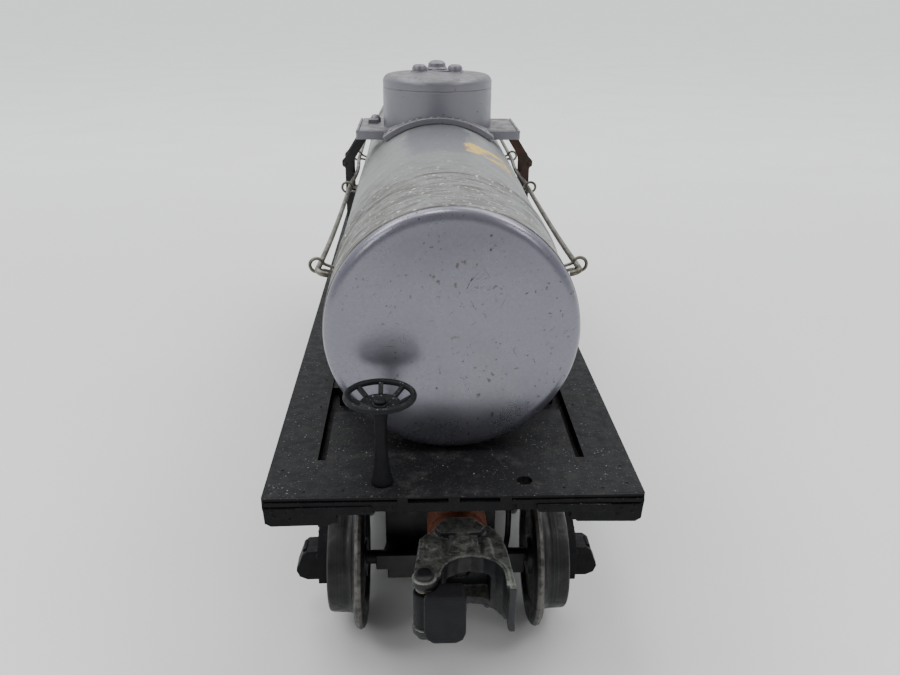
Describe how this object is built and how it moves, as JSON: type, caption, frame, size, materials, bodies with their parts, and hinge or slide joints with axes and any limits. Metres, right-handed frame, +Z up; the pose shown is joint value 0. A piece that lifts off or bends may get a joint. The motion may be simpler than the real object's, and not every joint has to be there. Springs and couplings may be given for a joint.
{
  "type": "model tank wagon",
  "caption": "O gauge model tank wagon: silver tank with dome on a black cast frame, riding on two swivelling trucks with knuckle couplers; wheels roll and the brake wheel turns.",
  "frame": {"origin": "on the level that the wheel flanges touch, under the middle of the wagon", "axes": "+Z up; +Y along the wagon towards the end without the brake wheel; +X across it, to the right when looking along +Y"},
  "size_m": [0.053, 0.2046, 0.0891],
  "materials": {
    "silver_paint": "satin silver paint, scratched and lightly rust-spotted",
    "silver_sheet": "worn silver paint on sheet steel, dull and stained",
    "black_casting": "satin black paint on a pebbled casting",
    "black_steel": "blackened sheet steel",
    "wheel_iron": "darkened, polished brighter on the treads",
    "bare_wire": "tarnished drawn wire",
    "bright_steel": "plain plated",
    "coupler_casting": "blackened casting, rubbed grey on its edges",
    "coil_wrap": "dusty orange wrapping",
    "fibre": "matt hard fibre",
    "black_insulation": "matt"
  },
  "bodies": {
    "wagon": {"frame": "black_casting", "tank_shell": "silver_sheet", "front_tank_end": "silver_paint", "rear_tank_end": "silver_paint", "dome_and_platform": "silver_paint", "dome_nut": "bright_steel", "front_tank_screw": "bright_steel", "front_tank_nut": "bright_steel", "rear_tank_screw": "bright_steel", "rear_tank_nut": "bright_steel", "left_handrail": "bare_wire", "right_handrail": "bare_wire", "left_ladder": "black_steel", "right_ladder": "black_steel", "brake_stand": "black_casting", "front_pivot_stud": "bright_steel", "front_stud_clip": "bright_steel", "rear_pivot_stud": "bright_steel", "rear_stud_clip": "bright_steel"},
    "brake_wheel": {"brake_wheel": "black_casting"},
    "front_truck": {"front_bolster": "black_steel", "front_right_side_frame": "black_casting", "front_left_side_frame": "black_casting", "front_drawbar": "black_steel", "front_coupler_head": "coupler_casting", "front_knuckle_pin": "black_steel", "front_knuckle_spring": "bright_steel", "front_coil": "coil_wrap", "front_shoe_carrier": "black_steel", "front_shoe_insulator": "fibre", "front_contact_shoe": "bright_steel", "front_coil_lead": "black_insulation"},
    "front_knuckle": {"front_knuckle": "coupler_casting"},
    "front_plunger": {"front_plunger": "bright_steel"},
    "front_outer_wheelset": {"front_outer_axle": "black_steel", "front_outer_right_wheel": "wheel_iron", "front_outer_left_wheel": "wheel_iron"},
    "front_inner_wheelset": {"front_inner_axle": "black_steel", "front_inner_right_wheel": "wheel_iron", "front_inner_left_wheel": "wheel_iron"},
    "rear_truck": {"rear_bolster": "black_steel", "rear_right_side_frame": "black_casting", "rear_left_side_frame": "black_casting", "rear_drawbar": "black_steel", "rear_coupler_head": "coupler_casting", "rear_knuckle_pin": "black_steel", "rear_knuckle_spring": "bright_steel", "rear_coil": "coil_wrap", "rear_shoe_carrier": "black_steel", "rear_shoe_insulator": "fibre", "rear_contact_shoe": "bright_steel", "rear_coil_lead": "black_insulation"},
    "rear_knuckle": {"rear_knuckle": "coupler_casting"},
    "rear_plunger": {"rear_plunger": "bright_steel"},
    "rear_outer_wheelset": {"rear_outer_axle": "black_steel", "rear_outer_right_wheel": "wheel_iron", "rear_outer_left_wheel": "wheel_iron"},
    "rear_inner_wheelset": {"rear_inner_axle": "black_steel", "rear_inner_right_wheel": "wheel_iron", "rear_inner_left_wheel": "wheel_iron"}
  },
  "joints": [
    {"name": "brake_wheel_turn", "type": "hinge", "parent": "wagon", "child": "brake_wheel", "pos_m": [-0.0101, -0.0965, 0.053], "axis": [0, 0, 1], "continuous": true},
    {"name": "front_truck_swivel", "type": "hinge", "parent": "wagon", "child": "front_truck", "pos_m": [0, -0.0588, 0.0253], "axis": [0, 0, 1], "range_deg": [-20, 20]},
    {"name": "front_outer_wheelset_roll", "type": "hinge", "parent": "front_truck", "child": "front_outer_wheelset", "pos_m": [0, -0.0758, 0.0121], "axis": [1, 0, 0], "continuous": true},
    {"name": "front_inner_wheelset_roll", "type": "hinge", "parent": "front_truck", "child": "front_inner_wheelset", "pos_m": [0, -0.0418, 0.0121], "axis": [1, 0, 0], "continuous": true},
    {"name": "front_knuckle_open", "type": "hinge", "parent": "front_truck", "child": "front_knuckle", "pos_m": [-0.0042, -0.0989, 0.0209], "axis": [0, 0, -1], "range_deg": [0, 40]},
    {"name": "front_plunger_pull", "type": "slide", "parent": "front_truck", "child": "front_plunger", "axis": [0, 1, 0], "range_m": [0, 0.0015], "stiffness_N_per_m": 20},
    {"name": "rear_truck_swivel", "type": "hinge", "parent": "wagon", "child": "rear_truck", "pos_m": [0, 0.0588, 0.0253], "axis": [0, 0, 1], "range_deg": [-20, 20]},
    {"name": "rear_outer_wheelset_roll", "type": "hinge", "parent": "rear_truck", "child": "rear_outer_wheelset", "pos_m": [0, 0.0758, 0.0121], "axis": [1, 0, 0], "continuous": true},
    {"name": "rear_inner_wheelset_roll", "type": "hinge", "parent": "rear_truck", "child": "rear_inner_wheelset", "pos_m": [0, 0.0418, 0.0121], "axis": [1, 0, 0], "continuous": true},
    {"name": "rear_knuckle_open", "type": "hinge", "parent": "rear_truck", "child": "rear_knuckle", "pos_m": [0.0042, 0.0989, 0.0209], "axis": [0, 0, -1], "range_deg": [0, 40]},
    {"name": "rear_plunger_pull", "type": "slide", "parent": "rear_truck", "child": "rear_plunger", "axis": [0, -1, 0], "range_m": [0, 0.0015], "stiffness_N_per_m": 20}
  ]
}
